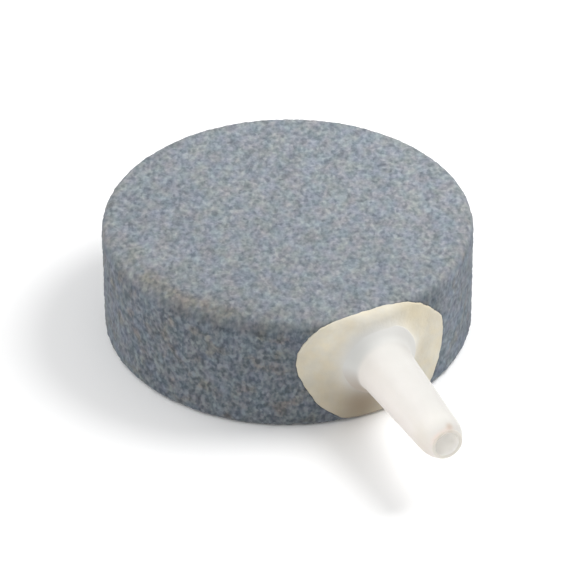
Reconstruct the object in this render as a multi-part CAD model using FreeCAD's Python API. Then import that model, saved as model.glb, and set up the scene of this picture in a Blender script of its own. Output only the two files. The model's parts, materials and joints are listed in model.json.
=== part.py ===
"""Disc air stone for an aquarium or pond: a bonded-grain disc with a glued-in airline nozzle.

Frame: millimetres, +Z up. The origin is on the disc's axis, in its flat bottom face. The nozzle's axis
runs along +X, out of the side wall.
"""
import FreeCAD, Part
import math
import os

# ---- Driving dimensions (mm) ----

STONE_DIAMETER = 40.0
STONE_THICKNESS = 13.0
STONE_EDGE_ROUND = 0.8

AIRLINE_BORE = 4.0            # soft airline tube that the nozzle is made for, inside diameter
TUBE_NOSE_DIAMETER = AIRLINE_BORE + 0.62
TUBE_ROOT_DIAMETER = 6.14
TUBE_REACH = 16.5             # how far the nozzle's tip stands out of the side wall
NOSE_LENGTH = 1.0             # rounded cone that leads the airline onto the tube
NOSE_ROUND = 4.0
TIP_DIAMETER = 3.4
TIP_ROUND = 0.25
AIR_PASSAGE_DIAMETER = 2.6

# The nozzle is set by hand, a little to one side of the disc's radius and above its mid-height.
NOZZLE_Y = 1.4
NOZZLE_Z = 7.35

SHOULDER_DIAMETER = 8.6
SHOULDER_STAND_OUT = 0.3      # cylindrical part of the shoulder outside the wall
SHOULDER_ROUND = 0.3
SHOULDER_SLOPE_LENGTH = 1.2
SHOULDER_THICKNESS_INSIDE = 0.9
ROOT_FILLET = 2.0             # sweeps the shoulder into the tube

SPIGOT_DIAMETER = 5.2
SPIGOT_LENGTH = 9.0
SPIGOT_LEAD_IN = 0.4
GROOVE_COUNT = 3
GROOVE_WIDTH = 1.0
GROOVE_DEPTH = 0.35
GROOVE_PITCH = 2.0

CHAMBER_DIAMETER = 6.6        # blind hole in the stone: seat of the spigot, then air chamber
CHAMBER_END_X = -4.0
COUNTERSINK_DIAMETER = 10.6
COMPOUND_DEPTH_ON_SPIGOT = 7.0
COMPOUND_INTO_GRAIN = 0.6     # depth to which the compound fills the outer layer of grain
COMPOUND_PROUD = 0.2          # how far the compound stands out of the side wall

# ---- Derived dimensions ----

STONE_RADIUS = STONE_DIAMETER / 2
CHAMBER_RADIUS = CHAMBER_DIAMETER / 2
COUNTERSINK_RADIUS = COUNTERSINK_DIAMETER / 2
SPIGOT_RADIUS = SPIGOT_DIAMETER / 2
SHOULDER_RADIUS = SHOULDER_DIAMETER / 2
PASSAGE_RADIUS = AIR_PASSAGE_DIAMETER / 2
WALL_X = math.sqrt(STONE_RADIUS ** 2 - NOZZLE_Y ** 2)      # side wall on the nozzle's axis
SHOULDER_BACK_X = WALL_X - SHOULDER_THICKNESS_INSIDE
SPIGOT_END_X = SHOULDER_BACK_X - SPIGOT_LENGTH
TIP_X = WALL_X + TUBE_REACH
CLEAR = 5.0                   # overlength of the cutting tools

# The compound's edge on the side wall, as (degrees round the disc from +X towards +Y, height).
# It runs from the lower left corner up the left side, over the top and down the right side.
# Heights above the stone's thickness lie on the top face, just inside its rim.
COMPOUND_EDGE = [
    (-1.0, 0.35),
    (-8.0, 0.9),
    (-14.2, 2.4),
    (-18.6, 4.4),
    (-21.2, 7.4),
    (-20.8, 9.8),
    (-16.0, 12.3),
    (-8.0, 13.6),
    (9.0, 13.7),
    (18.0, 12.6),
    (28.5, 9.6),
    (31.9, 7.8),
    (30.0, 4.6),
    (26.0, 0.35),
]


def along_nozzle(points):
    """Revolve a closed (x, radius) outline about the nozzle's axis."""
    corners = [FreeCAD.Vector(x, NOZZLE_Y, NOZZLE_Z + radius) for x, radius in points]
    outline = Part.Face(Part.makePolygon(corners + corners[:1]))
    return outline.revolve(FreeCAD.Vector(0, NOZZLE_Y, NOZZLE_Z), FreeCAD.Vector(1, 0, 0), 360)


def rounded_at(shape, x, radius, round_radius):
    """Round the circular edge of a shape turned on the nozzle's axis at this x and radius."""
    tolerance = 1e-3
    centre = FreeCAD.Vector(x, NOZZLE_Y, NOZZLE_Z)
    edges = []
    for edge in shape.Edges:
        if not isinstance(edge.Curve, Part.Circle):
            continue
        near = (edge.Curve.Center - centre).Length < tolerance
        if near and abs(edge.Curve.Radius - radius) < tolerance:
            edges.append(edge)
    return shape.makeFillet(round_radius, edges)


def disc(radius, edge_round):
    """A disc of the stone's thickness with both rims rounded."""
    blank = Part.makeCylinder(radius, STONE_THICKNESS)
    rims = [edge for edge in blank.Edges if isinstance(edge.Curve, Part.Circle)]
    return blank.makeFillet(edge_round, rims)


def chamber():
    """The stone's blind hole: countersunk mouth, straight bore and a 45 degree conical end."""
    countersink_end_x = WALL_X - (COUNTERSINK_RADIUS - CHAMBER_RADIUS)
    return along_nozzle([
        (CHAMBER_END_X - CHAMBER_RADIUS, 0),
        (CHAMBER_END_X, CHAMBER_RADIUS),
        (countersink_end_x, CHAMBER_RADIUS),
        (WALL_X, COUNTERSINK_RADIUS),
        (WALL_X + CLEAR, COUNTERSINK_RADIUS + CLEAR),
        (WALL_X + CLEAR, 0),
    ])


def compound_outline_prism():
    """The compound's outline on the side wall, extruded along X through that side of the disc."""
    points = []
    for degrees, height in COMPOUND_EDGE:
        y = STONE_RADIUS * math.sin(math.radians(degrees))
        points.append(FreeCAD.Vector(0, y, height))
    curve = Part.BSplineCurve()
    curve.interpolate(points)
    outline = Part.Wire([curve.toShape(), Part.makeLine(points[-1], points[0])])
    return Part.Face(outline).extrude(FreeCAD.Vector(STONE_RADIUS + CLEAR, 0, 0))


def compound_seat():
    """The ring of the outer grain layer, inside the compound's outline, that the compound fills."""
    core = Part.makeCylinder(STONE_RADIUS - COMPOUND_INTO_GRAIN, STONE_THICKNESS + 2 * CLEAR,
                             FreeCAD.Vector(0, 0, -CLEAR))
    return compound_outline_prism().cut(core)


def air_nozzle():
    """The white nozzle: grooved spigot, shoulder and tapered tube, with one bore right through."""
    slope_x = WALL_X + SHOULDER_STAND_OUT
    root_x = slope_x + SHOULDER_SLOPE_LENGTH
    nose_x = TIP_X - NOSE_LENGTH
    root_radius = TUBE_ROOT_DIAMETER / 2
    nose_radius = TUBE_NOSE_DIAMETER / 2
    tip_radius = TIP_DIAMETER / 2
    body = along_nozzle([
        (SPIGOT_END_X, PASSAGE_RADIUS),
        (SPIGOT_END_X, SPIGOT_RADIUS - SPIGOT_LEAD_IN),
        (SPIGOT_END_X + SPIGOT_LEAD_IN, SPIGOT_RADIUS),
        (SHOULDER_BACK_X, SPIGOT_RADIUS),
        (SHOULDER_BACK_X, SHOULDER_RADIUS),
        (slope_x, SHOULDER_RADIUS),
        (root_x, root_radius),
        (nose_x, nose_radius),
        (TIP_X, tip_radius),
        (TIP_X, PASSAGE_RADIUS),
    ])
    body = rounded_at(body, slope_x, SHOULDER_RADIUS, SHOULDER_ROUND)
    body = rounded_at(body, root_x, root_radius, ROOT_FILLET)
    body = rounded_at(body, nose_x, nose_radius, NOSE_ROUND)
    body = rounded_at(body, TIP_X, tip_radius, TIP_ROUND)
    for index in range(GROOVE_COUNT):
        start_x = SHOULDER_BACK_X - (index + 1) * GROOVE_PITCH
        groove = along_nozzle([
            (start_x, SPIGOT_RADIUS - GROOVE_DEPTH),
            (start_x, SPIGOT_RADIUS + CLEAR),
            (start_x + GROOVE_WIDTH, SPIGOT_RADIUS + CLEAR),
            (start_x + GROOVE_WIDTH, SPIGOT_RADIUS - GROOVE_DEPTH),
        ])
        body = body.cut(groove)
    return body


def sealing_compound(nozzle):
    """The cured compound: the oval skin on the wall, the countersink and the film on the spigot."""
    inner_end_x = SHOULDER_BACK_X - COMPOUND_DEPTH_ON_SPIGOT
    skin_envelope = disc(STONE_RADIUS + COMPOUND_PROUD, STONE_EDGE_ROUND + COMPOUND_PROUD)
    skin = compound_seat().common(skin_envelope)
    plug_limit = Part.makeCylinder(COUNTERSINK_RADIUS, TIP_X - inner_end_x,
                                   FreeCAD.Vector(inner_end_x, NOZZLE_Y, NOZZLE_Z),
                                   FreeCAD.Vector(1, 0, 0))
    plug = chamber().common(plug_limit).common(skin_envelope)
    nozzle_blank = nozzle.fuse(nozzle_passage())
    return skin.fuse(plug).cut(nozzle_blank).removeSplitter()


def nozzle_passage():
    """The bore through the nozzle, as a solid, so that the compound stays out of it."""
    return along_nozzle([
        (SPIGOT_END_X, 0),
        (SPIGOT_END_X, PASSAGE_RADIUS),
        (TIP_X, PASSAGE_RADIUS),
        (TIP_X, 0),
    ])


def stone_body():
    """The bonded-grain disc with its blind hole and the layer of grain that the compound fills."""
    body = disc(STONE_RADIUS, STONE_EDGE_ROUND)
    return body.cut(chamber()).cut(compound_seat())


def main():
    os.makedirs("parts", exist_ok=True)
    nozzle = air_nozzle()
    nodes = {
        "stone_body": stone_body(),
        "air_nozzle": nozzle,
        "sealing_compound": sealing_compound(nozzle),
    }
    for name, shape in nodes.items():
        print(name, "solids", len(shape.Solids), "valid", shape.isValid(),
              "volume", round(shape.Volume, 1), "mm3")
        shape.exportStep("parts/" + name + ".step")


main()
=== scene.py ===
"""Visual model of the disc air stone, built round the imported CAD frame. Lengths are in metres."""
import bpy
import json
import math
import numpy as np
from mathutils import Matrix, Vector


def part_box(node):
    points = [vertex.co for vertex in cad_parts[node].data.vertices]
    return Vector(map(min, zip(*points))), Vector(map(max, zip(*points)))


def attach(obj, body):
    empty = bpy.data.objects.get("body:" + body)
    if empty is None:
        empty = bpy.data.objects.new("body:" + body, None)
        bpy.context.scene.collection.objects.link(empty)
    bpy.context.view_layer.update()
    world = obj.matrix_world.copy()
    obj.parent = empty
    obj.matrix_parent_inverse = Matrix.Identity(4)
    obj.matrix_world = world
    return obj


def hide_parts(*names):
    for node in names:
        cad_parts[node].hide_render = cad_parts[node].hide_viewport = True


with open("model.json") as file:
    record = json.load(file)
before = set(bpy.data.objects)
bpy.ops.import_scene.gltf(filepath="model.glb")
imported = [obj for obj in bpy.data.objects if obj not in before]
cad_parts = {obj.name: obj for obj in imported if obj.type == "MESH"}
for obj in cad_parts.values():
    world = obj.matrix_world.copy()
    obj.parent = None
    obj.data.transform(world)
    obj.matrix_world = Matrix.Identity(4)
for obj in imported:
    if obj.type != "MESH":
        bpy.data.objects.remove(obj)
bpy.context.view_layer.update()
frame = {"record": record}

MM = 0.001

# ---- Sizes and places from the frame ----

stone_low, stone_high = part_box("stone_body")
nozzle_low, nozzle_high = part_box("air_nozzle")
mounts = {mount["name"]: mount for mount in frame["record"]["mounts"]}

STONE_RADIUS = (stone_high.y - stone_low.y) / 2
STONE_HEIGHT = stone_high.z
NOZZLE_Y = (nozzle_low.y + nozzle_high.y) / 2
NOZZLE_Z = (nozzle_low.z + nozzle_high.z) / 2
SHOULDER_RADIUS = (nozzle_high.z - nozzle_low.z) / 2
SPIGOT_END_X = nozzle_low.x
TIP_X = nozzle_high.x
WALL_X = math.sqrt(STONE_RADIUS ** 2 - NOZZLE_Y ** 2)
PASSAGE_RADIUS = mounts["air_passage"]["dims"]["r_mm"] * MM

# ---- Sizes that the frame's boxes don't show ----

STONE_EDGE = 0.8 * MM         # rounding of the disc's rims
SHOULDER_BACK_X = WALL_X - 0.9 * MM
SLOPE_X = WALL_X + 0.3 * MM   # front edge of the shoulder, where its slope begins
ROOT_X = SLOPE_X + 1.2 * MM   # where the slope meets the tube
NOSE_X = TIP_X - 1.0 * MM     # where the rounded nose begins
ROOT_RADIUS = 3.07 * MM
NOSE_RADIUS = 2.31 * MM
TIP_RADIUS = 1.7 * MM
SPIGOT_RADIUS = 2.6 * MM
GROOVE_COUNT = 3
GROOVE_WIDTH = 1.0 * MM
GROOVE_DEPTH = 0.35 * MM
GROOVE_PITCH = 2.0 * MM
SPIGOT_LEAD_IN = 0.4 * MM
CHAMBER_RADIUS = 3.3 * MM
CHAMBER_END_X = -4.0 * MM
COUNTERSINK_RADIUS = 5.3 * MM
COMPOUND_INNER_X = SHOULDER_BACK_X - 7.0 * MM     # inner end of the compound round the spigot


def direction(azimuth, elevation):
    """Unit vector towards an azimuth (0 lies towards -Y, 90 towards +X) and elevation, in degrees."""
    turn, rise = math.radians(azimuth), math.radians(elevation)
    return Vector((math.sin(turn) * math.cos(rise), -math.cos(turn) * math.cos(rise), math.sin(rise)))


# ---- Camera ----

CAMERA_AZIMUTH = 66.05        # where the camera stands, in degrees as for direction()
CAMERA_ELEVATION = 35.42
CAMERA_ROLL = -0.37
CAMERA_DISTANCE = 435.1 * MM  # from the point on the disc's axis at ORBIT_HEIGHT
ORBIT_HEIGHT = 6.0 * MM
AIM_HEIGHT = 3.76 * MM
CAMERA_LENS = 250.0
CAMERA_SENSOR = 36.0


def add_camera():
    data = bpy.data.cameras.new("camera")
    data.lens = CAMERA_LENS
    data.sensor_width = CAMERA_SENSOR
    data.clip_start = 0.01
    data.clip_end = 20
    camera = bpy.data.objects.new("camera", data)
    bpy.context.scene.collection.objects.link(camera)
    camera.location = Vector((0, 0, ORBIT_HEIGHT))
    camera.location += direction(CAMERA_AZIMUTH, CAMERA_ELEVATION) * CAMERA_DISTANCE
    look = Vector((0, 0, AIM_HEIGHT)) - camera.location
    turn = look.to_track_quat("-Z", "Y").to_matrix().to_4x4()
    roll = Matrix.Rotation(math.radians(CAMERA_ROLL), 4, "Z")
    camera.matrix_world = Matrix.Translation(camera.location) @ turn @ roll
    bpy.context.scene.camera = camera


# ---- Noise on arrays of points ----

HASH_FACTORS = (73856093, 19349663, 83492791)
SALT_FACTOR = 2654435761


def cell_random(cells, salt):
    """A repeatable random number from 0 to 1 for each integer cell."""
    mixed = salt * SALT_FACTOR
    for axis, factor in enumerate(HASH_FACTORS):
        mixed = mixed ^ (cells[..., axis].astype(np.int64) * factor)
    mixed = (mixed ^ (mixed >> 13)) * 1274126177
    mixed = (mixed ^ (mixed >> 16)) * 1103515245
    return ((mixed ^ (mixed >> 15)) & 0xFFFFFF) / float(0x1000000)


def grain_cells(points, size, salt):
    """Distance to the nearest grain's centre, in grain sizes, and that grain's random tone."""
    scaled = points / size
    home = np.floor(scaled).astype(np.int64)
    nearest = np.full(len(points), 9.0)
    tone = np.zeros(len(points))
    steps = (-1, 0, 1)
    for offset in [(i, j, k) for i in steps for j in steps for k in steps]:
        cell = home + np.array(offset)
        jitter = np.stack([cell_random(cell, salt + axis) for axis in range(3)], axis=-1)
        gap = np.linalg.norm(cell + jitter - scaled, axis=-1)
        closer = gap < nearest
        tone = np.where(closer, cell_random(cell, salt + 3), tone)
        nearest = np.where(closer, gap, nearest)
    return nearest, tone


def smooth_noise(points, size, salt):
    """Smooth noise from -1 to 1 with features of about this size."""
    scaled = points / size
    home = np.floor(scaled).astype(np.int64)
    part = scaled - home
    part = part * part * (3 - 2 * part)
    total = np.zeros(len(points))
    for i, j, k in [(i, j, k) for i in (0, 1) for j in (0, 1) for k in (0, 1)]:
        corner = cell_random(home + np.array((i, j, k)), salt)
        weight = np.ones(len(points))
        for axis, step in enumerate((i, j, k)):
            weight = weight * (part[:, axis] if step else 1 - part[:, axis])
        total += weight * corner
    return 2 * total - 1


def bell(values, centre, width, power=2):
    """1 at the centre, falling smoothly to about a third at this distance from it."""
    return np.exp(-np.abs((values - centre) / width) ** power)


# ---- Mesh helpers ----

def mesh_object(name, points, faces, smooth=True):
    mesh = bpy.data.meshes.new(name)
    mesh.from_pydata([tuple(point) for point in points], [], faces)
    mesh.validate()
    mesh.update()
    mesh.polygons.foreach_set("use_smooth", [smooth] * len(mesh.polygons))
    made = bpy.data.objects.new(name, mesh)
    bpy.context.scene.collection.objects.link(made)
    return made


def mesh_points(made):
    flat = np.zeros(len(made.data.vertices) * 3)
    made.data.vertices.foreach_get("co", flat)
    return flat.reshape(-1, 3)


def store(made, name, values):
    """Keep one number per vertex for the material to read."""
    attribute = made.data.attributes.new(name, "FLOAT", "POINT")
    attribute.data.foreach_set("value", np.asarray(values, np.float32))


def ring_faces(rows, columns, closed_rows=False):
    """Quads between rows of points, each row a closed ring of this many columns."""
    faces = []
    last = rows if closed_rows else rows - 1
    for row in range(last):
        above = ((row + 1) % rows) * columns
        here = row * columns
        for column in range(columns):
            right = (column + 1) % columns
            faces.append((here + column, here + right, above + right, above + column))
    return faces


# ---- Stone body ----

GRID = 154                    # squares along each side of the flat faces' grid
GRAIN_SIZE = 0.62 * MM
GRAIN_RELIEF = 0.17 * MM
FINE_GRAIN_SIZE = 0.4 * MM
FINE_RELIEF = 0.04 * MM
PIT_SIZE = 1.3 * MM
PIT_DEPTH = 0.12 * MM
PIT_REACH = 0.35              # of PIT_SIZE
PIT_SHARE = 0.3               # of the cells of that size have a pit
WAVINESS = 0.03 * MM          # slow swells of the whole surface
SEAT_DEPTH = 0.3 * MM         # the grain under the compound lies this much lower
SEAT_SLOPE = 0.2 * MM         # and falls to that depth over this width
WEAR_REACH = 1.9 * MM         # how much further in the worn stretch of the rim is rounded
WEAR_DEPTH = 0.6 * MM         # and how much further down
WEAR_BEARING = -56.0          # middle of the worn stretch, degrees round the disc from +X
WEAR_WIDTH = 33.0             # degrees to either side
DARK_RIM_BEARING = -45.0        # middle of the darker stretch of the rim: painted shade with some grime
LIT_STRIP_BEARING = 35.0         # middle of the strip of painted light on the wall beside the compound
FALLOFF_BEARING = -24.0     # painted shade: the stone is a little darker on this side and lighter on the far side, as the light falls off


def disc_grid():
    """A square grid mapped evenly onto the unit disc, and its edge points in order round the rim."""
    steps = np.linspace(-1, 1, GRID + 1)
    a, b = np.meshgrid(steps, steps, indexing="ij")
    wide = np.abs(a) > np.abs(b)
    safe_a = np.where(a == 0, 1, a)
    safe_b = np.where(b == 0, 1, b)
    radius = np.where(wide, a, b)
    angle = np.where(wide, math.pi / 4 * b / safe_a, math.pi / 2 - math.pi / 4 * a / safe_b)
    flat = np.stack([radius * np.cos(angle), radius * np.sin(angle)], axis=-1)
    last = GRID
    rim = [(last, j) for j in range(last)]
    rim += [(last - i, last) for i in range(last)]
    rim += [(0, last - j) for j in range(last)]
    rim += [(i, 0) for i in range(last)]
    return flat, rim


def side_rows():
    """(radius, height) of each ring from the bottom face's edge up to the top face's edge."""
    spacing = 2 * math.pi * STONE_RADIUS / (4 * GRID)
    arc_steps = max(4, round(math.pi / 2 * STONE_EDGE / spacing))
    wall_steps = round((STONE_HEIGHT - 2 * STONE_EDGE) / spacing)
    rows = []
    for step in range(arc_steps + 1):
        turn = math.pi / 2 * step / arc_steps
        rows.append((STONE_RADIUS - STONE_EDGE + STONE_EDGE * math.sin(turn),
                     STONE_EDGE - STONE_EDGE * math.cos(turn)))
    lower = rows[-1][1]
    for step in range(1, wall_steps):
        rows.append((STONE_RADIUS, lower + (STONE_HEIGHT - 2 * lower) * step / wall_steps))
    for radius, height in reversed(rows[:arc_steps + 1]):
        rows.append((radius, STONE_HEIGHT - height))
    return rows


def smooth_disc():
    """Points and faces of the plain rounded disc."""
    flat, rim = disc_grid()
    inner_radius = STONE_RADIUS - STONE_EDGE
    columns = len(rim)
    rows = side_rows()
    rim_index = {place: number for number, place in enumerate(rim)}
    angles = -math.pi / 4 + 2 * math.pi * np.arange(columns) / columns
    points = []
    for radius, height in rows:
        ring = np.stack([radius * np.cos(angles), radius * np.sin(angles),
                         np.full(columns, height)], axis=-1)
        points.append(ring)
    faces = ring_faces(len(rows), columns)
    count = columns * len(rows)
    for height, rim_start, upward in ((0.0, 0, False), (STONE_HEIGHT, columns * (len(rows) - 1), True)):
        index = np.zeros((GRID + 1, GRID + 1), int)
        inside = []
        for i in range(GRID + 1):
            for j in range(GRID + 1):
                if (i, j) in rim_index:
                    index[i, j] = rim_start + rim_index[(i, j)]
                else:
                    index[i, j] = count + len(inside)
                    inside.append((*(flat[i, j] * inner_radius), height))
        points.append(np.array(inside))
        count += len(inside)
        for i in range(GRID):
            for j in range(GRID):
                quad = (index[i, j], index[i + 1, j], index[i + 1, j + 1], index[i, j + 1])
                faces.append(quad if upward else quad[::-1])
    return np.concatenate(points), [tuple(int(v) for v in face) for face in faces]


def disc_normals(points):
    """Outward directions of the rounded disc, and each point's height above its smooth surface."""
    radius = np.hypot(points[:, 0], points[:, 1])
    safe = np.maximum(radius, 1e-9)
    core_radius = np.minimum(radius, STONE_RADIUS - STONE_EDGE)
    core = np.stack([points[:, 0] / safe * core_radius, points[:, 1] / safe * core_radius,
                     np.clip(points[:, 2], STONE_EDGE, STONE_HEIGHT - STONE_EDGE)], axis=-1)
    away = points - core
    length = np.linalg.norm(away, axis=-1)
    return away / np.maximum(length, 1e-9)[:, None], length - STONE_EDGE


def wall_place(points):
    """Arc length round the wall from +X, and climb, of points near the smooth disc."""
    radius = np.hypot(points[:, 0], points[:, 1])
    core_height = np.clip(points[:, 2], STONE_EDGE, STONE_HEIGHT - STONE_EDGE)
    out = radius - STONE_RADIUS + STONE_EDGE
    tilt = np.arctan2(points[:, 2] - core_height, np.maximum(out, 1e-9))
    climb = core_height + tilt / (math.pi / 2) * 2 * STONE_EDGE + np.maximum(-out, 0) * (tilt > 0)
    return np.stack([np.arctan2(points[:, 1], points[:, 0]) * STONE_RADIUS, climb], axis=-1)


def under_compound(points):
    """1 for points that the compound covers, falling to 0 at its edge."""
    spokes = wall_place(points) - COMPOUND_CENTRE
    bearing = np.arctan2(spokes[:, 1], spokes[:, 0])
    edge, edge_bearing = compound_edge(COMPOUND_COLUMNS)
    edge_reach = np.linalg.norm(edge - COMPOUND_CENTRE, axis=-1)
    reach = np.interp(bearing, edge_bearing, edge_reach, period=2 * math.pi)
    return np.clip((reach - np.linalg.norm(spokes, axis=-1)) / SEAT_SLOPE, 0, 1)


def worn_shift(points):
    """How the worn stretch of the top rim lies away from the evenly rounded disc."""
    along, climb = wall_place(points).T
    wander = smooth_noise(points, 2.2 * MM, salt=41)
    inward = STONE_EDGE + WEAR_REACH * np.clip(1 + 0.4 * wander, 0, 2)
    down = STONE_EDGE + WEAR_DEPTH
    share = (climb - STONE_HEIGHT + down) / (inward + down)
    turn = np.clip(share, 0, 1) * math.pi / 2
    radius = STONE_RADIUS - inward + inward * np.cos(turn)
    angle = along / STONE_RADIUS
    worn = np.stack([radius * np.cos(angle), radius * np.sin(angle),
                     STONE_HEIGHT - down + down * np.sin(turn)], axis=-1)
    amount = bell(np.degrees(angle), WEAR_BEARING, WEAR_WIDTH, 4) * (share > 0) * (share < 1)
    return (worn - on_wall(along, climb, 0 * climb)) * amount[:, None]


def roughen(points):
    """Turn the smooth disc into bonded grain: rounded grains, finer grains between them, and pits."""
    normals, _ = disc_normals(points)
    nearest, tone = grain_cells(points, GRAIN_SIZE, salt=11)
    grain = np.clip(1 - nearest ** 2, 0, 1) * (0.5 + 0.5 * tone) - 0.5
    fine_nearest, fine_tone = grain_cells(points, FINE_GRAIN_SIZE, salt=23)
    fine = np.clip(1 - fine_nearest ** 2, 0, 1) * fine_tone - 0.35
    pit_nearest, pit_tone = grain_cells(points, PIT_SIZE, salt=37)
    pit = np.clip(1 - pit_nearest / PIT_REACH, 0, 1) * (pit_tone > 1 - PIT_SHARE)
    height = grain * GRAIN_RELIEF + fine * FINE_RELIEF - pit * PIT_DEPTH
    height += smooth_noise(points, 6 * MM, salt=5) * WAVINESS
    height *= 1 - 0.35 * bell(wall_place(points)[:, 1], STONE_HEIGHT, 1.2 * MM)
    height -= under_compound(points) * SEAT_DEPTH
    moved = points + normals * height[:, None] + worn_shift(points)
    moved[:, 2] = np.clip(moved[:, 2], 0, None)
    return moved


def turned_rings(outline, columns):
    """Rings of points turned about the nozzle's axis, one for each (x, radius) of an outline."""
    angles = 2 * math.pi * np.arange(columns) / columns
    rings = []
    for x, radius in outline:
        rings.append(np.stack([np.full(columns, x), NOZZLE_Y + radius * np.cos(angles),
                               NOZZLE_Z + radius * np.sin(angles)], axis=-1))
    return rings


def chamber_cutter():
    """The blind hole: a countersunk mouth, a bore for the spigot and the air chamber behind it."""
    overlength = 3 * MM
    point_radius = 0.02 * MM
    outline = [
        (CHAMBER_END_X - CHAMBER_RADIUS, point_radius),
        (CHAMBER_END_X, CHAMBER_RADIUS),
        (WALL_X - COUNTERSINK_RADIUS + CHAMBER_RADIUS, CHAMBER_RADIUS),
        (WALL_X + overlength, COUNTERSINK_RADIUS + overlength),
        (WALL_X + overlength, point_radius),
    ]
    columns = 96
    points = np.concatenate(turned_rings(outline, columns))
    faces = ring_faces(len(outline), columns)
    faces.append(tuple(range(columns))[::-1])
    faces.append(tuple(range((len(outline) - 1) * columns, len(outline) * columns)))
    return mesh_object("chamber_cutter", points, faces, smooth=False)


def stone():
    """The disc of bonded grain with its blind hole."""
    points, faces = smooth_disc()
    made = mesh_object("stone_grain", roughen(points), faces)
    cutter = chamber_cutter()
    cut = made.modifiers.new("chamber", "BOOLEAN")
    cut.operation = "DIFFERENCE"
    cut.solver = "EXACT"
    cut.object = cutter
    bpy.context.view_layer.update()
    evaluated = made.evaluated_get(bpy.context.evaluated_depsgraph_get())
    final = bpy.data.meshes.new_from_object(evaluated)
    made.modifiers.clear()
    made.data = final
    bpy.data.objects.remove(cutter)
    made.data.polygons.foreach_set("use_smooth", [True] * len(made.data.polygons))
    mark_stone(made)
    return made


def mark_stone(made):
    """Store where the stone is wall, worn and coarse, and where shade, some dirt and light are painted on it,
    for its material.
    """
    points = mesh_points(made)
    unworn = points - worn_shift(points)
    points = points - worn_shift(unworn)
    normals, relief = disc_normals(points)
    store(made, "relief", relief / GRAIN_RELIEF)
    store(made, "wall", np.clip(1.35 - np.abs(normals[:, 2]) * 1.5, 0, 1))
    climb = wall_place(points)[:, 1]
    bearing = np.degrees(np.arctan2(points[:, 1], points[:, 0]))
    worn_band = bell(climb, STONE_HEIGHT + 1.85 * MM, 1.1 * MM) * bell(bearing, WEAR_BEARING - 8, 29, 4)
    edge_band = 0.25 * bell(climb, STONE_HEIGHT + 0.5 * MM, 0.8 * MM)
    store(made, "rim", np.maximum(worn_band, edge_band))
    # Painted shade, with some grime, along the front-left stretch of the rim and onto the top near it.
    rim_shade_edge = bell(climb, STONE_HEIGHT + 0.45 * MM, 1.05 * MM)
    rim_shade_top = 0.35 * bell(climb, STONE_HEIGHT + 2.5 * MM, 2.3 * MM)
    store(made, "rim_shade_and_grime", np.maximum(rim_shade_edge, rim_shade_top) * bell(bearing, DARK_RIM_BEARING, 27, 4))
    store(made, "coarse", bell(bearing, DARK_RIM_BEARING, 42, 4))
    # Painted light on the wall beside the compound.
    store(made, "painted_light_strip", bell(bearing, LIT_STRIP_BEARING, 8))
    # Painted light and shade: darker towards one side and lighter towards the other, as the light falls off.
    side = math.radians(FALLOFF_BEARING)
    across = (points[:, 0] * math.cos(side) + points[:, 1] * math.sin(side)) / STONE_RADIUS
    store(made, "painted_falloff", 0.5 + 0.5 * across)


# ---- Sealing compound ----

COMPOUND_COLUMNS = 320
COMPOUND_LIFT = 0.10 * MM     # how far its face stands out of the side wall
COMPOUND_TUCK = 0.10 * MM     # how far its edge dips under the grain
COMPOUND_RIM = 0.22 * MM      # width of its rounded edge
COMPOUND_WOBBLE = 0.07 * MM   # how far its outline wanders, at each of two scales
COMPOUND_BACK = 0.5 * MM      # how far its back lies inside the wall
COMPOUND_LAP = 0.40 * MM      # how far it laps onto the shoulder's slope, on average
COMPOUND_SINK = 0.3 * MM      # how far its inner edge goes on down under the nozzle's surface
COMPOUND_RINGS = 40           # rings across its face
COMPOUND_CENTRE = np.array([math.asin(NOZZLE_Y / STONE_RADIUS) * STONE_RADIUS, NOZZLE_Z])

# Outline on the side wall: (degrees round the disc from +X towards +Y, climb in mm). The climb is the
# height on the wall, and past the stone's thickness it goes on over the rim onto the top face.
COMPOUND_OUTLINE = [
    (-21.7, 7.9),
    (-20.2, 6.1),
    (-17.9, 4.4),
    (-15.1, 2.9),
    (-11.7, 1.65),
    (-6.4, 0.45),
    (0.0, -0.3),
    (10.0, -0.5),
    (20.0, -0.3),
    (24.4, 0.55),
    (26.9, 1.7),
    (29.4, 3.1),
    (30.7, 4.8),
    (31.1, 6.6),
    (30.8, 8.2),
    (25.4, 10.4),
    (19.8, 12.1),
    (15.9, 13.0),
    (11.5, 13.6),
    (6.0, 14.05),
    (0.0, 14.1),
    (-5.5, 13.85),
    (-11.8, 13.2),
    (-15.6, 12.35),
    (-18.7, 11.15),
    (-21.2, 9.7),
]


def on_wall(along, climb, lift):
    """Points at an arc length round the wall from +X and a climb up it, lifted off the smooth surface."""
    angle = along / STONE_RADIUS
    top_turn = np.clip((climb - STONE_HEIGHT + STONE_EDGE) / (2 * STONE_EDGE), 0, 1)
    bottom_turn = np.clip((STONE_EDGE - climb) / (2 * STONE_EDGE), 0, 1)
    tilt = (top_turn - bottom_turn) * math.pi / 2
    inset = np.clip(climb - STONE_HEIGHT - STONE_EDGE, 0, None)
    radius = STONE_RADIUS - STONE_EDGE - inset + (STONE_EDGE + lift) * np.cos(tilt)
    core_height = np.clip(climb, STONE_EDGE, STONE_HEIGHT - STONE_EDGE)
    height = core_height + (STONE_EDGE + lift) * np.sin(tilt)
    return np.stack([radius * np.cos(angle), radius * np.sin(angle), height], axis=-1)


def smooth_loop(corners, steps):
    """A closed Catmull-Rom curve through these points."""
    corners = np.asarray(corners, float)
    t = np.linspace(0, 1, steps, endpoint=False)[:, None]
    before = np.roll(corners, 1, axis=0)
    after = np.roll(corners, -1, axis=0)
    beyond = np.roll(corners, -2, axis=0)
    curve = []
    for p0, p1, p2, p3 in zip(before, corners, after, beyond):
        curve.append(0.5 * (2 * p1 + (p2 - p0) * t + (2 * p0 - 5 * p1 + 4 * p2 - p3) * t ** 2
                            + (3 * p1 - p0 - 3 * p2 + p3) * t ** 3))
    return np.concatenate(curve)


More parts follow.
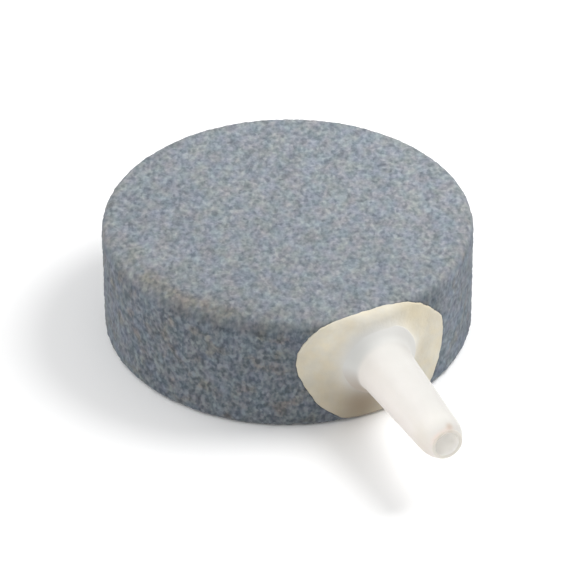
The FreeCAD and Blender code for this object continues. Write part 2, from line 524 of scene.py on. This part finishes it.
def compound_edge(columns):
    """Outer edge of the compound as (arc length, climb), at even bearings round the nozzle, and those."""
    corners = [(math.radians(degrees) * STONE_RADIUS, climb * MM) for degrees, climb in COMPOUND_OUTLINE]
    curve = smooth_loop(corners, 24)
    spokes = curve - COMPOUND_CENTRE
    bearing = np.unwrap(np.arctan2(spokes[:, 1], spokes[:, 0]))
    order = np.argsort(bearing % (2 * math.pi))
    bearing = (bearing % (2 * math.pi))[order]
    reach = np.hypot(spokes[:, 0], spokes[:, 1])[order]
    asked = 2 * math.pi * np.arange(columns) / columns
    reach = np.interp(asked, bearing, reach, period=2 * math.pi)
    outward = np.stack([np.cos(asked), np.sin(asked)], axis=-1)
    edge = COMPOUND_CENTRE + reach[:, None] * outward
    wobble_at = np.concatenate([edge, np.zeros((columns, 1))], axis=-1)
    wobble = smooth_noise(wobble_at, 1.3 * MM, salt=71) + smooth_noise(wobble_at, 0.45 * MM, salt=72)
    return edge + COMPOUND_WOBBLE * wobble[:, None] * outward, asked


def compound_lift(flat_place):
    """How far the compound's slightly wavy face stands out of the wall, away from its edges."""
    lift = np.full(len(flat_place), COMPOUND_LIFT)
    for height, size, salt in ((0.03, 3.2, 81), (0.02, 1.1, 82), (0.008, 0.4, 83)):
        lift += height * MM * smooth_noise(flat_place, size * MM, salt)
    return lift


def compound():
    """The cream compound: face, rounded rim, back in the grain, and the plug round the spigot."""
    edge, bearing = compound_edge(COMPOUND_COLUMNS)
    across, up = np.cos(bearing), np.sin(bearing)

    # The inner edge laps a little way up the shoulder's slope, then turns down under the nozzle.
    slope = (ROOT_X - SLOPE_X) / (SHOULDER_RADIUS - ROOT_RADIUS)
    wander = smooth_noise(np.stack([across, up, 0 * up], axis=-1), 0.5, salt=74)
    lap = COMPOUND_LAP + 0.15 * MM * wander
    lap_radius = SHOULDER_RADIUS - lap
    collar_x = SLOPE_X + lap * slope - 0.02 * MM
    collar_y = NOZZLE_Y + lap_radius * across
    collar = np.stack([np.arctan2(collar_y, collar_x) * STONE_RADIUS, NOZZLE_Z + lap_radius * up], axis=-1)
    collar_lift = np.hypot(collar_x, collar_y) - STONE_RADIUS
    sunk_radius = lap_radius - COMPOUND_SINK
    sunk_x = collar_x + COMPOUND_SINK * slope - 0.1 * MM
    points = [np.stack([sunk_x, NOZZLE_Y + sunk_radius * across, NOZZLE_Z + sunk_radius * up], axis=-1)]
    collar_marks = [np.ones(COMPOUND_COLUMNS)]

    # The face, ring by ring from the collar out to its rounded rim; a gap is a ring's distance from the edge.
    span = np.linalg.norm(edge - collar, axis=-1)
    steps = np.linspace(0, 1, COMPOUND_RINGS)
    turns = np.linspace(0, math.pi / 2, 6)[1:]
    gaps = [COMPOUND_RIM + (span - COMPOUND_RIM) * (1 - step) for step in steps]
    gaps += [np.full(COMPOUND_COLUMNS, COMPOUND_RIM * math.cos(turn)) for turn in turns]
    collar_width = (1.0 + 0.5 * np.clip(up, 0, 1)) * MM
    for gap in gaps:
        place = edge + (collar - edge) * (gap / span)[:, None]
        from_collar = span - gap
        fall = np.clip(1 - gap / COMPOUND_RIM, 0, 1)
        round_off = np.sqrt(np.clip(1 - fall ** 2, 0, 1))
        flat_place = on_wall(place[:, 0], place[:, 1], 0 * gap)
        lift = compound_lift(flat_place) * round_off - COMPOUND_TUCK * (1 - round_off)
        lift += (collar_lift - lift) * np.exp(-from_collar / (0.75 * MM))
        points.append(on_wall(place[:, 0], place[:, 1], lift) + worn_shift(flat_place))
        collar_marks.append(bell(from_collar, 0, collar_width, 1.5))

    # The back, in the grain, and the plug: countersink, film round the spigot and seat of the shoulder.
    back = edge + (collar - edge) * (COMPOUND_RIM / span)[:, None]
    points.append(on_wall(back[:, 0], back[:, 1], np.full(COMPOUND_COLUMNS, -COMPOUND_BACK)))
    points += turned_rings([
        (WALL_X - 0.6 * MM, COUNTERSINK_RADIUS - 0.6 * MM),
        (WALL_X - COUNTERSINK_RADIUS + CHAMBER_RADIUS, CHAMBER_RADIUS),
        (COMPOUND_INNER_X, CHAMBER_RADIUS),
        (COMPOUND_INNER_X, SPIGOT_RADIUS),
        (SHOULDER_BACK_X, SPIGOT_RADIUS),
        (SHOULDER_BACK_X, SHOULDER_RADIUS),
        (SLOPE_X - 0.1 * MM, SHOULDER_RADIUS),
    ], COMPOUND_COLUMNS)
    faces = ring_faces(len(points), COMPOUND_COLUMNS, closed_rows=True)
    hidden_marks = np.zeros((len(points) - len(collar_marks)) * COMPOUND_COLUMNS)
    points = np.concatenate(points)
    points[:, 2] = np.clip(points[:, 2], 0, None)
    made = mesh_object("compound_smear", points, faces)
    store(made, "collar", np.concatenate(collar_marks + [hidden_marks]))
    mark_compound(made, points)
    return made


# Uneven zones of the compound: (name, degrees round the disc from +X, climb in mm, size in mm).
COMPOUND_ZONES = [
    # Painted shadow of the tube below its root, with some grime.
    ("shadow_and_grime", -1.5, 2.2, 3.3),
    ("yellowing", 17.0, 11.4, 2.4),
    # Painted light on the upper left, where the compound faces the top light.
    ("painted_light_spot", -5.0, 11.6, 4.3),
    ("dull", -17.0, 5.0, 2.5),
]


def mark_compound(made, points):
    """Store the compound's zones, painted light and shadow among them, and the painted shade over the top
    rim.
    """
    places = wall_place(points)
    for name, degrees, climb, size in COMPOUND_ZONES:
        gap = places - np.array([math.radians(degrees) * STONE_RADIUS, climb * MM])
        store(made, name, bell(np.linalg.norm(gap, axis=-1), 0, size * MM))
    # Painted shade where the compound laps over the stone's top rim, on its left part, toning down the light
    # there.
    on_lip = bell(places[:, 1], STONE_HEIGHT + 0.3 * MM, 0.75 * MM)
    store(made, "lip", on_lip * np.clip((14 - np.degrees(places[:, 0] / STONE_RADIUS)) / 18, 0, 1))


# ---- Air nozzle ----

NOZZLE_COLUMNS = 128
CUT_BACK = 0.20 * MM          # the tip is cut a little askew: its upper edge lies this much further back
CUT_BLEND = 2.0 * MM
TUBE_BEND = 0.10 * MM         # how far the tip lies off the axis, to the right and up
SCAR_DEPTH = 0.06 * MM


def rounded_outline(corners):
    """Points of a closed outline, each corner (x, radius, rounding) replaced by an arc of its rounding."""
    points = []
    for number, (x, radius, rounding) in enumerate(corners):
        corner = np.array([x, radius])
        to_last = np.array(corners[number - 1][:2]) - corner
        to_next = np.array(corners[(number + 1) % len(corners)][:2]) - corner
        to_last = to_last / np.linalg.norm(to_last)
        to_next = to_next / np.linalg.norm(to_next)
        if rounding == 0:
            points.append(corner)
            continue
        half = math.acos(float(np.clip(to_last @ to_next, -1, 1))) / 2
        middle = (to_last + to_next) / np.linalg.norm(to_last + to_next)
        centre = corner + middle * rounding / math.sin(half)
        first = corner + to_last * rounding / math.tan(half) - centre
        last = corner + to_next * rounding / math.tan(half) - centre
        sweep = math.acos(float(np.clip(first @ last / rounding ** 2, -1, 1)))
        for step in np.linspace(0, 1, 9):
            blend = first * math.sin((1 - step) * sweep) + last * math.sin(step * sweep)
            points.append(centre + blend / math.sin(sweep))
    return points


def subdivided(outline, spacing):
    """The closed outline with its long runs divided, so that the surface can wander a little."""
    points = []
    for number, point in enumerate(outline):
        following = outline[(number + 1) % len(outline)]
        count = max(1, math.ceil(np.linalg.norm(following - point) / spacing))
        for step in range(count):
            points.append(point + (following - point) * step / count)
    return points


def nozzle_outline():
    """The nozzle's closed section as corners (x, radius, rounding), from the spigot's end round to it."""
    corners = [
        (SPIGOT_END_X, PASSAGE_RADIUS, 0),
        (SPIGOT_END_X, SPIGOT_RADIUS - SPIGOT_LEAD_IN, 0),
        (SPIGOT_END_X + SPIGOT_LEAD_IN, SPIGOT_RADIUS, 0),
    ]
    for index in reversed(range(GROOVE_COUNT)):
        start_x = SHOULDER_BACK_X - (index + 1) * GROOVE_PITCH
        corners += [
            (start_x, SPIGOT_RADIUS, 0),
            (start_x, SPIGOT_RADIUS - GROOVE_DEPTH, 0),
            (start_x + GROOVE_WIDTH, SPIGOT_RADIUS - GROOVE_DEPTH, 0),
            (start_x + GROOVE_WIDTH, SPIGOT_RADIUS, 0),
        ]
    corners += [
        (SHOULDER_BACK_X, SPIGOT_RADIUS, 0),
        (SHOULDER_BACK_X, SHOULDER_RADIUS, 0),
        (SLOPE_X, SHOULDER_RADIUS, 0.3 * MM),
        (ROOT_X, ROOT_RADIUS, 2.0 * MM),
        (NOSE_X, NOSE_RADIUS, 4.0 * MM),
        (TIP_X, TIP_RADIUS, 0.2 * MM),
        (TIP_X, PASSAGE_RADIUS, 0.12 * MM),
    ]
    return subdivided(rounded_outline(corners), 0.35 * MM)


def nozzle():
    """The white nozzle, with its hidden grooved spigot and the bore right through it."""
    outline = nozzle_outline()
    points = np.concatenate(turned_rings(outline, NOZZLE_COLUMNS))
    made = mesh_object("nozzle_body", points, ring_faces(len(outline), NOZZLE_COLUMNS, closed_rows=True))
    points = mesh_points(made)
    outward = points - np.array([0, NOZZLE_Y, NOZZLE_Z])
    outward[:, 0] = 0
    radius = np.linalg.norm(outward, axis=-1)
    outward /= radius[:, None]
    outside = radius > PASSAGE_RADIUS + 0.1 * MM
    scar = mark_nozzle(made, points, outward, radius, outside)

    lift = 0.02 * MM * smooth_noise(points, 3 * MM, salt=91)
    lift += 0.006 * MM * smooth_noise(points, 0.8 * MM, salt=92)
    points = points + outward * ((lift - SCAR_DEPTH * scar) * outside)[:, None]
    near_tip = np.clip((points[:, 0] - TIP_X + CUT_BLEND) / CUT_BLEND, 0, 1) ** 2
    points[:, 0] -= CUT_BACK * near_tip * np.clip((points[:, 2] - NOZZLE_Z) / TIP_RADIUS + 0.3, 0, 1.3) / 1.3
    bend = TUBE_BEND * np.clip((points[:, 0] - ROOT_X) / (TIP_X - ROOT_X), 0, 1) ** 2
    points[:, 1] += 0.87 * bend
    points[:, 2] += 0.50 * bend
    made.data.vertices.foreach_set("co", points.ravel())
    made.data.update()
    return made


def mark_nozzle(made, points, outward, radius, outside):
    """Store the nozzle's marks, dirt and painted light and shade for its material. Gives back the scar's
    strength.
    """
    x = points[:, 0]
    sideways, upward = outward[:, 1], outward[:, 2]

    # The mark that the cut left at the tip.
    angle = np.degrees(np.arctan2(upward, sideways))
    scar = bell(angle, 118, 48, 4) * bell(x, TIP_X - 0.15 * MM, 0.2 * MM) * outside
    scar = scar * np.clip(0.85 + 0.3 * smooth_noise(points, 0.35 * MM, salt=93), 0, 1)
    store(made, "scar", scar)
    store(made, "spot", bell(angle, 76, 11) * bell(x, TIP_X - 0.4 * MM, 0.4 * MM) * outside)

    # Along the tube: the shoulder, the root, the nose.
    # Painted light and shade: 0 on the side towards the key light, 1 on the side away, evened out near the
    # root.
    lee = 0.5 - 0.43 * sideways - 0.25 * upward
    near_root = np.exp(-np.clip(x - ROOT_X, 0, None) / (2.0 * MM))
    store(made, "lee", lee - 0.6 * near_root * np.clip(lee - 0.6, 0, 1))
    collar_fade = (0.5 + 0.2 * upward) * MM
    on_collar = np.clip((ROOT_X - x) / collar_fade + 1, 0, 1) * outside
    # The shoulder is a little greyer all round, and greyer again, as painted shade, on the side away from the
    # key light.
    store(made, "collar", on_collar * (0.35 + 0.65 * np.clip(0.5 - 0.8 * sideways, 0, 1)))
    # Painted shadow on the shoulder below the tube and away from the key light, with some grime.
    store(made, "shadow_and_grime", on_collar * np.clip((-0.6 * sideways - 0.8 * upward - 0.5) / 0.5, 0, 1))
    nose = outside * bell(x, TIP_X - 1.6 * MM, 1.5 * MM)
    store(made, "nose", nose)
    # Darker and a little warmer on the nose's side away from the key light.
    store(made, "nose_lee_tint", nose * np.clip((lee - 0.6) / 0.25, 0, 1))

    # The end face and the bore.
    end_face = np.clip((x - TIP_X + 0.12 * MM) / (0.1 * MM), 0, 1) * (radius > PASSAGE_RADIUS + 0.02 * MM)
    store(made, "end", np.maximum(end_face, 1 - outside))
    store(made, "bore", 1 - outside)
    # Painted shade inside the bore, strongest just within its mouth and fading deeper in.
    in_mouth = np.clip((TIP_X - x) / (0.14 * MM), 0, 1) * np.exp((x - TIP_X) / (1.8 * MM))
    store(made, "mouth", (1 - outside) * in_mouth)
    on_tube = np.clip((x - ROOT_X) / (3.0 * MM), 0, 1) * outside * (1 - end_face)
    store(made, "translucent", np.maximum(on_tube, (1 - outside) * (1 - end_face)))
    return scar


# ---- Materials ----

class Graph:
    """Short calls for building one material's nodes."""

    def __init__(self, name):
        self.material = bpy.data.materials.new(name)
        self.material.use_nodes = True
        self.tree = self.material.node_tree
        self.shader = self.tree.nodes["Principled BSDF"]

    def add(self, kind, inputs=None, **settings):
        node = self.tree.nodes.new("ShaderNode" + kind)
        for key, value in settings.items():
            setattr(node, key, value)
        for key, value in (inputs or {}).items():
            self.feed(value, node.inputs[key])
        return node

    def feed(self, value, socket):
        if isinstance(value, bpy.types.NodeSocket):
            self.tree.links.new(value, socket)
        else:
            socket.default_value = value

    def set(self, **values):
        for key, value in values.items():
            self.feed(value, self.shader.inputs[key.replace("_", " ")])

    def math(self, operation, first, second, third=0.0):
        return self.add("Math", {0: first, 1: second, 2: third}, operation=operation).outputs[0]

    def noise(self, place, scale, detail):
        """Noise of about 1 / scale millimetres."""
        return self.add("TexNoise", {"Vector": place, "Scale": scale, "Detail": detail}).outputs["Fac"]

    def attribute(self, name):
        return self.add("Attribute", attribute_name=name).outputs["Fac"]

    def mix(self, share, first, second, blend="MIX"):
        node = self.add("Mix", data_type="RGBA", blend_type=blend)
        self.feed(share, node.inputs[0])
        self.feed(first, node.inputs[6])
        self.feed(second, node.inputs[7])
        return node.outputs[2]

    def zone(self, name, colour, paint, strength=1.0, blend="MIX"):
        """The colour with a paint over it, or a tint on it, where a mesh attribute says so."""
        share = self.attribute(name)
        if strength != 1:
            share = self.math("MULTIPLY", share, strength)
        return self.mix(share, colour, paint, blend)

    def ramp(self, share, stops):
        node = self.add("ValToRGB", {0: share})
        ramp = node.color_ramp
        while len(ramp.elements) < len(stops):
            ramp.elements.new(0.5)
        for element, (place, colour) in zip(ramp.elements, stops):
            element.position = place
            element.color = colour
        return node.outputs["Color"]

    def stretched(self, place, degrees, stretch):
        """Coordinates in which a texture is drawn out along axes turned this far about Z."""
        turn = (0.0, 0.0, math.radians(degrees))
        inputs = {"Vector": place, "Rotation": turn, "Scale": stretch}
        return self.add("Mapping", inputs, vector_type="TEXTURE").outputs["Vector"]

    def bump(self, height, strength, distance):
        node = self.add("Bump", {"Height": height, "Strength": strength, "Distance": distance})
        self.set(Normal=node.outputs["Normal"])

    def millimetres(self):
        """Object coordinates in millimetres."""
        place = self.add("TexCoord").outputs["Object"]
        return self.add("VectorMath", {0: place, 3: 1000.0}, operation="SCALE").outputs[0]


def srgb(red, green, blue):
    """A colour given as 0 to 255 display values, in linear light."""
    linear = []
    for value in (red, green, blue):
        share = value / 255
        linear.append(share / 12.92 if share <= 0.04045 else ((share + 0.055) / 1.055) ** 2.4)
    return (*linear, 1.0)


GRAIN_TONES = [
    (0.18, srgb(94, 101, 109)),
    (0.36, srgb(110, 118, 125)),
    (0.50, srgb(124, 130, 137)),
    (0.64, srgb(135, 141, 147)),
    (0.82, srgb(149, 155, 159)),
]

GRAIN_LAY = -24.0             # degrees from +X; the grain is drawn out a little this way


def grain_tone(graph, place):
    """Light and dark of single grains, about -0.4 to 0.4."""
    cells = graph.add("TexVoronoi", {"Vector": place, "Scale": 2.6, "Smoothness": 0.2}, feature="SMOOTH_F1")
    cell_tone = graph.add("SeparateColor", {0: cells.outputs["Color"]}).outputs[0]
    speckle = graph.noise(place, 1.95, 1.0)
    return graph.math("MULTIPLY_ADD", cell_tone, 0.30, graph.math("MULTIPLY_ADD", speckle, 1.15, -0.725))


# Broad tints of the stone: (noise scale, low end, high end, tint at the low end, tint at the high end).
STONE_TINTS = [
    (0.16, 0.30, 0.70, (0.955, 0.965, 0.98, 1), (1.045, 1.035, 1.015, 1)),
    (0.55, 0.36, 0.64, (0.97, 1.0, 1.035, 1), (1.045, 1.0, 0.95, 1)),
    (0.75, 0.36, 0.64, (1.022, 0.982, 1.012, 1), (0.975, 1.016, 0.98, 1)),
]
BLACK = (0, 0, 0, 1)
WHITE = (1, 1, 1, 1)


def stone_material():
    graph = Graph("bonded_grain")
    place = graph.millimetres()
    wall = graph.attribute("wall")

    # Single grains, with more contrast on the coarse stretch of the wall, and painted shade, with a little
    # dirt, in the hollows between them.
    on_top = graph.stretched(place, GRAIN_LAY, (1.3, 0.97, 1.0))
    on_wall = graph.stretched(place, GRAIN_LAY, (1.25, 1.0, 1.2))
    tone = graph.add("Mix", {0: wall, 2: grain_tone(graph, on_top), 3: grain_tone(graph, on_wall)}).outputs[0]
    on_wall_contrast = graph.math("MULTIPLY_ADD", graph.attribute("coarse"), 0.57, -0.08)
    contrast = graph.math("MULTIPLY_ADD", wall, on_wall_contrast, 0.80)
    colour = graph.ramp(graph.math("MULTIPLY_ADD", tone, contrast, 0.5), GRAIN_TONES)
    # Painted shade in the hollows, read from the stored relief.
    hollow_shade = graph.ramp(graph.math("MULTIPLY_ADD", graph.attribute("relief"), 0.5, 0.5),
                       [(0.0, (0.80, 0.80, 0.81, 1)), (0.5, WHITE)])
    colour = graph.mix(1.0, colour, hollow_shade, "MULTIPLY")

    for scale, low, high, low_tint, high_tint in STONE_TINTS:
        tint = graph.ramp(graph.noise(on_top, scale, 2.0), [(low, low_tint), (high, high_tint)])
        colour = graph.mix(1.0, colour, tint, "MULTIPLY")
    # The wall is drawn darker than the faces: partly a darker, coarser grain and partly painted shade of the
    # wall under the top light.
    wall_tone_and_shade = graph.mix(wall, WHITE, (0.675, 0.70, 0.735, 1))
    colour = graph.mix(1.0, colour, wall_tone_and_shade, "MULTIPLY")

    # Tan grains, in patches on the wall and along the worn rim.
    patches = graph.ramp(graph.noise(place, 0.5, 3.0), [(0.53, BLACK), (0.66, WHITE)])
    patches = graph.math("MULTIPLY", graph.math("MULTIPLY", wall, patches), 0.8)
    colour = graph.mix(patches, colour, (1.12, 0.98, 0.84, 1), "MULTIPLY")
    tan_rim = graph.ramp(graph.noise(place, 0.75, 3.0), [(0.25, BLACK), (0.50, WHITE)])
    tan_rim = graph.math("MULTIPLY", graph.attribute("rim"), tan_rim)
    colour = graph.mix(tan_rim, colour, (0.97, 0.87, 0.75, 1), "MULTIPLY")

    # Painted shade with some grime along the front-left rim.
    colour = graph.zone("rim_shade_and_grime", colour, (0.63, 0.63, 0.64, 1), blend="MULTIPLY")
    # Painted light: a paler strip of wall beside the compound.
    painted_light_strip = graph.math("MULTIPLY", wall, graph.attribute("painted_light_strip"))
    colour = graph.mix(painted_light_strip, colour, (1.24, 1.24, 1.26, 1), "MULTIPLY")
    # Painted light and shade: the stone's falloff of light from back to front.
    painted_falloff = graph.ramp(graph.attribute("painted_falloff"),
                           [(0.0, (1.05, 1.055, 1.06, 1)), (0.5, WHITE), (1.0, (0.92, 0.92, 0.91, 1))])
    colour = graph.mix(graph.math("MULTIPLY_ADD", wall, -0.6, 1.0), colour, painted_falloff, "MULTIPLY")

    graph.set(Base_Color=colour, Roughness=0.9)
    graph.bump(graph.noise(on_top, 3.6, 2.0), 0.3, 0.12 * MM)
    return graph.material


def compound_material():
    graph = Graph("sealing_compound")
    place = graph.millimetres()
    colour = graph.ramp(graph.noise(place, 0.4, 4.0),
                        [(0.3, srgb(195, 187, 168)), (0.7, srgb(209, 203, 186))])
    tint = graph.ramp(graph.noise(place, 0.9, 3.0),
                      [(0.35, (0.97, 0.985, 1.02, 1)), (0.65, (1.02, 1.0, 0.96, 1))])
    colour = graph.mix(1.0, colour, tint, "MULTIPLY")
    # Painted light on the upper left of the compound.
    colour = graph.zone("painted_light_spot", colour, (1.36, 1.36, 1.36, 1), blend="MULTIPLY")
    # Painted shade on the compound over the top rim, toning down the light there.
    colour = graph.zone("lip", colour, (0.77, 0.77, 0.77, 1), blend="MULTIPLY")
    colour = graph.zone("dull", colour, (0.82, 0.81, 0.79, 1), blend="MULTIPLY")
    colour = graph.zone("collar", colour, srgb(212, 211, 207))
    colour = graph.zone("yellowing", colour, srgb(214, 201, 168), 0.5)
    # Painted shadow below the tube's root, with some grime.
    colour = graph.zone("shadow_and_grime", colour, srgb(136, 121, 101), 0.9)
    graph.set(Base_Color=colour, Roughness=0.6)
    graph.bump(graph.noise(place, 3.0, 3.0), 0.3, 0.1 * MM)
    return graph.material


# Painted light and shade round the nozzle: base colours from its side towards the key light to the side away
# from it.
LEE_TONES = [
    (0.0, srgb(188, 186, 182)),
    (0.12, srgb(202, 200, 196)),
    (0.25, srgb(209, 207, 203)),
    (0.5, srgb(222, 219, 215)),
    (0.70, srgb(229, 225, 220)),
    (0.83, srgb(229, 224, 219)),
    (0.93, srgb(222, 216, 211)),
    (1.0, srgb(214, 207, 202)),
]


def nozzle_material():
    graph = Graph("nozzle_plastic")
    place = graph.millimetres()
    tint = graph.ramp(graph.noise(place, 0.5, 2.0), [(0.3, (0.98, 0.98, 0.98, 1)), (0.7, WHITE)])
    # Painted light and shade round the tube, set by its side to the key light.
    colour = graph.mix(1.0, graph.ramp(graph.attribute("lee"), LEE_TONES), tint, "MULTIPLY")
    colour = graph.zone("nose", colour, (1.03, 1.03, 1.02, 1), blend="MULTIPLY")
    # Darker and a little warmer on the nose's side away from the key light.
    colour = graph.zone("nose_lee_tint", colour, (0.89, 0.885, 0.86, 1), blend="MULTIPLY")
    # The shoulder's grey, most of it painted shade on the side away from the key light.
    colour = graph.zone("collar", colour, srgb(211, 211, 208))
    # Painted shadow on the shoulder under the tube, with some grime.
    colour = graph.zone("shadow_and_grime", colour, srgb(172, 158, 144), 0.8)
    colour = graph.zone("end", colour, srgb(226, 221, 212))
    # Painted shade inside the bore near its mouth.
    colour = graph.zone("mouth", colour, (0.64, 0.64, 0.63, 1), blend="MULTIPLY")
    colour = graph.zone("scar", colour, srgb(240, 215, 200), 0.55)
    colour = graph.zone("spot", colour, srgb(184, 162, 144), 0.6)
    graph.set(Base_Color=colour, Roughness=0.7, Specular_IOR_Level=0.25)
    graph.set(Subsurface_Weight=graph.attribute("translucent"), Subsurface_Radius=(2.5, 2.5, 2.5))
    graph.set(Subsurface_Scale=graph.math("MULTIPLY_ADD", graph.attribute("bore"), 0.0022, 0.0006))
    graph.bump(graph.noise(place, 1.5, 3.0), 0.12, 0.1 * MM)
    return graph.material


def finish_piece(made, material, node):
    """Give a piece its material, hang it under the root body and hide the CAD node that it stands for."""
    made.data.materials.clear()
    made.data.materials.append(material)
    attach(made, "root")
    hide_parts(node)


# ---- Studio ----

FLOOR_REACH = 6.0             # metres from the stone to each edge of the floor


def add_floor():
    reach = FLOOR_REACH
    points = [(-reach, -reach, 0), (reach, -reach, 0), (reach, reach, 0), (-reach, reach, 0)]
    floor = mesh_object("floor", points, [(0, 1, 2, 3)], smooth=False)
    graph = Graph("floor_paint")
    graph.set(Base_Color=(0.96, 0.96, 0.96, 1), Roughness=0.9)
    floor.data.materials.append(graph.material)


def add_softbox(name, azimuth, elevation, strength, distance, size):
    """A round softbox aimed at the stone; its strength is a sun's that lights the stone's middle as much."""
    to_light = direction(azimuth, elevation)
    data = bpy.data.lights.new(name, "AREA")
    data.shape = "DISK"
    data.size = size
    data.energy = strength * math.pi * distance ** 2
    lamp = bpy.data.objects.new(name, data)
    bpy.context.scene.collection.objects.link(lamp)
    lamp.location = Vector((0, 0, STONE_HEIGHT / 2)) + to_light * distance
    lamp.rotation_euler = to_light.to_track_quat("Z", "Y").to_euler()


def add_sun(name, azimuth, elevation, strength, spread):
    """A soft sun that spreads over this many degrees of the sky."""
    data = bpy.data.lights.new(name, "SUN")
    data.energy = strength
    data.angle = math.radians(spread)
    lamp = bpy.data.objects.new(name, data)
    bpy.context.scene.collection.objects.link(lamp)
    lamp.rotation_euler = direction(azimuth, elevation).to_track_quat("Z", "Y").to_euler()


def add_world():
    world = bpy.data.worlds.new("studio")
    world.use_nodes = True
    background = world.node_tree.nodes["Background"]
    background.inputs["Color"].default_value = (1.0, 1.0, 1.0, 1)
    background.inputs["Strength"].default_value = 0.63
    bpy.context.scene.world = world


add_camera()
add_floor()
add_world()
add_softbox("key", azimuth=CAMERA_AZIMUTH + 108, elevation=52, strength=0.78 * math.pi,
            distance=0.18, size=0.11)
add_sun("fill", azimuth=CAMERA_AZIMUTH - 98, elevation=32, strength=0.44 * math.pi, spread=80)
bpy.context.scene.view_settings.view_transform = "Standard"

finish_piece(stone(), stone_material(), "stone_body")
finish_piece(compound(), compound_material(), "sealing_compound")
finish_piece(nozzle(), nozzle_material(), "air_nozzle")
